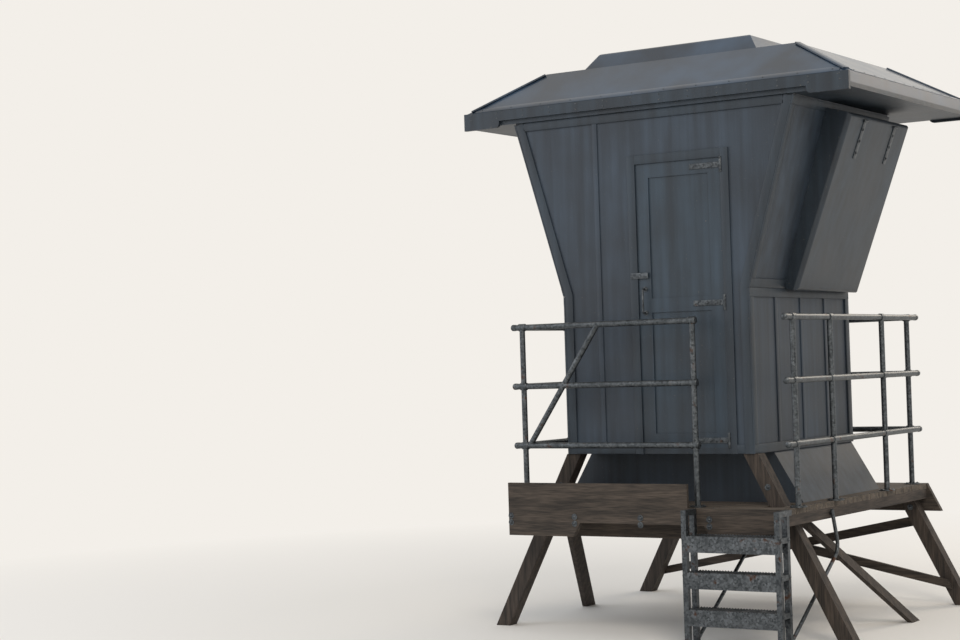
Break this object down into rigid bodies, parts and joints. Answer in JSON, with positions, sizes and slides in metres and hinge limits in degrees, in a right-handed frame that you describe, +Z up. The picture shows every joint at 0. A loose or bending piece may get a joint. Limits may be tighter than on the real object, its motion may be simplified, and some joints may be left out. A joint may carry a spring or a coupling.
{
  "type": "lifeguard tower",
  "caption": "Timber lookout cabin with flared side walls and a hipped roof on a low railed deck with splayed legs and boarding steps.",
  "frame": {"origin": "centre of the bounding box at ground level, where the feet rest", "axes": "+Z up, +X across the tower to the right as seen from the land side, +Y towards the sea side"},
  "size_m": [2.9, 2.695, 3.982],
  "materials": {
    "galvanised_pipe": "dull galvanised pipe",
    "galvanised_tube": "dull galvanised square tube",
    "galvanised_grating": "galvanised toothed grating",
    "frame_timber": "weathered treated timber",
    "deck_timber": "weathered deck boards",
    "roof_skin": "smooth slate-blue roof skin",
    "roof_trim": "painted trim boards",
    "floor_plywood": "plain plywood",
    "door_paint": "painted door leaf",
    "shutter_paint": "painted plywood shutters",
    "plinth_plywood": "painted plywood",
    "wall_paint": "painted plywood with battens"
  },
  "bodies": {
    "root": {"back_shutter": "shutter_paint", "back_wall": "wall_paint", "cabin_floor": "floor_plywood", "cross_brace": "frame_timber", "deck_beam_back": "frame_timber", "deck_beam_front": "frame_timber", "deck_boards": "deck_timber", "deck_joists": "frame_timber", "door": "door_paint", "front_bearer": "frame_timber", "front_wall_left": "wall_paint", "front_wall_right": "wall_paint", "front_wall_top": "wall_paint", "left_lower_wall": "wall_paint", "left_shutter": "shutter_paint", "left_upper_wall": "wall_paint", "leg_back_left": "frame_timber", "leg_back_right": "frame_timber", "leg_front_left": "frame_timber", "leg_front_right": "frame_timber", "plinth_back": "plinth_plywood", "plinth_front": "plinth_plywood", "plinth_left": "plinth_plywood", "plinth_right": "plinth_plywood", "railing_back": "galvanised_pipe", "railing_front": "galvanised_pipe", "railing_left": "galvanised_pipe", "railing_right": "galvanised_pipe", "raking_strut_left": "frame_timber", "raking_strut_right": "frame_timber", "right_lower_wall": "wall_paint", "right_shutter": "shutter_paint", "right_upper_wall": "wall_paint", "roof_cap": "roof_skin", "roof_fascia_back": "roof_trim", "roof_fascia_front": "roof_trim", "roof_shell": "roof_skin", "roof_soffit": "roof_trim", "step_side_left": "galvanised_tube", "step_side_right": "galvanised_tube", "step_stays": "galvanised_pipe", "toe_board": "deck_timber", "tread_1": "galvanised_grating", "tread_2": "galvanised_grating", "tread_3": "galvanised_grating"}
  },
  "joints": []
}
